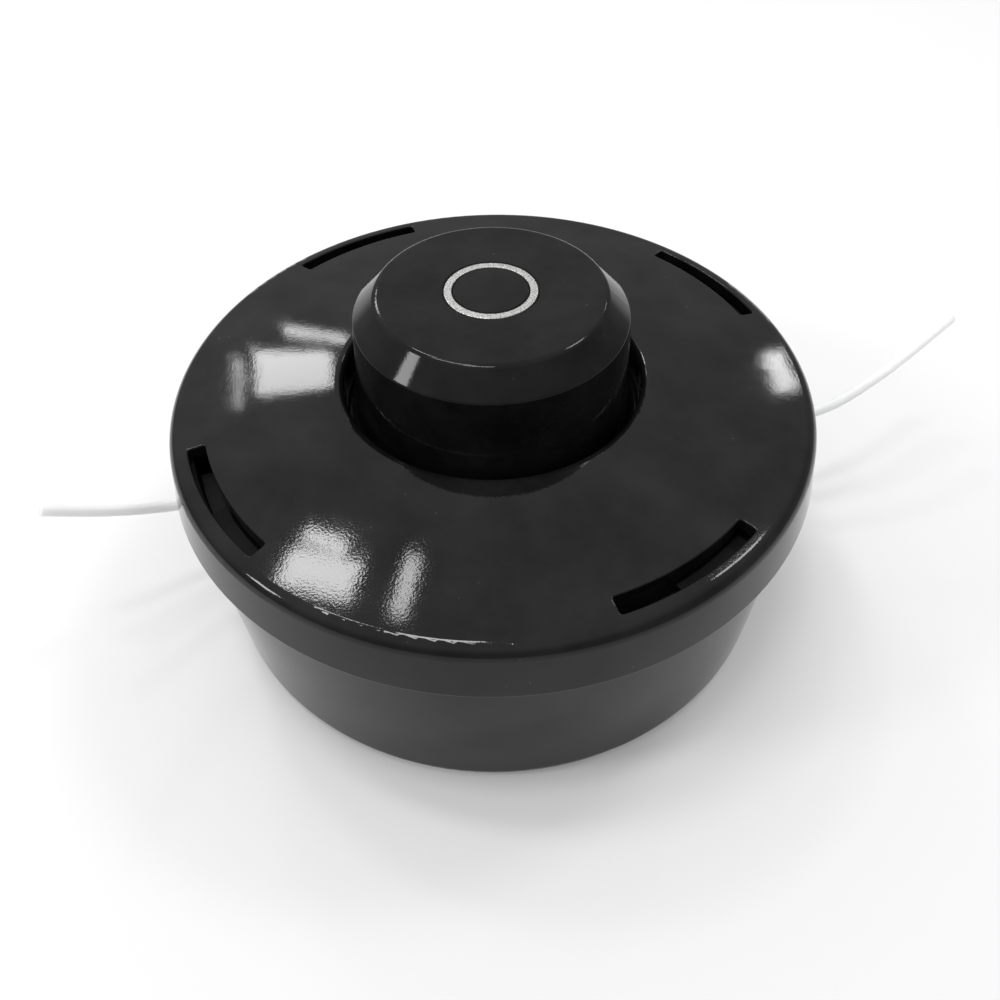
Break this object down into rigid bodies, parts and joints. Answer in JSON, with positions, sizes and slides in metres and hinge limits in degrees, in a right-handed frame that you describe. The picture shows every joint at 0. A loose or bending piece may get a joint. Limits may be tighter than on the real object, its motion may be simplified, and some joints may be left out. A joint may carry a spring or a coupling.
{
  "type": "trimmer line spool",
  "caption": "Glossy black bump-feed trimmer head with a wound nylon line spool, sprung tap knob with a metal wear ring, twist-lock cover and a threaded drive nut.",
  "frame": {"origin": "on the turning axis, at the base of the drum", "axes": "+Z along the turning axis from the base to the knob; -Y faces the camera of the picture; +X to the picture's right"},
  "size_m": [0.1941, 0.1268, 0.0682],
  "materials": {
    "black_plastic": "glossy moulded black",
    "cover_plastic": "glossy moulded black with a fine grain",
    "knob_plastic": "satin gloss black",
    "spool_plastic": "matt moulded black",
    "nylon_line": "milky translucent nylon",
    "steel": "plated steel",
    "eyelet_metal": "polished steel",
    "ring_metal": "matt turned metal"
  },
  "bodies": {
    "head": {"housing": "black_plastic", "drive_nut": "steel", "line_eyelet_right": "eyelet_metal", "line_eyelet_left": "eyelet_metal", "line_lead_right": "nylon_line", "line_lead_left": "nylon_line", "line_end_right": "nylon_line", "line_end_left": "nylon_line", "spring": "steel"},
    "lid": {"cover": "cover_plastic"},
    "seat": {"spring_seat": "steel"},
    "reel": {"spool": "spool_plastic", "line_winding_upper": "nylon_line", "line_winding_lower": "nylon_line", "bump_knob": "knob_plastic", "wear_ring": "ring_metal"}
  },
  "joints": [
    {"name": "tap", "type": "slide", "parent": "head", "child": "seat", "axis": [0, 0, 1], "range_m": [-0.0055, 0], "stiffness_N_per_m": 1500, "springref_m": 0.012, "deforming": ["spring"]},
    {"name": "feed", "type": "hinge", "parent": "seat", "child": "reel", "pos_m": [0, 0, 0.03], "axis": [0, 0, 1], "range_deg": [0, 49]},
    {"name": "cover_twist", "type": "hinge", "parent": "head", "child": "lid", "pos_m": [0, 0, 0.045], "axis": [0, 0, 1], "range_deg": [-17, 0]}
  ]
}
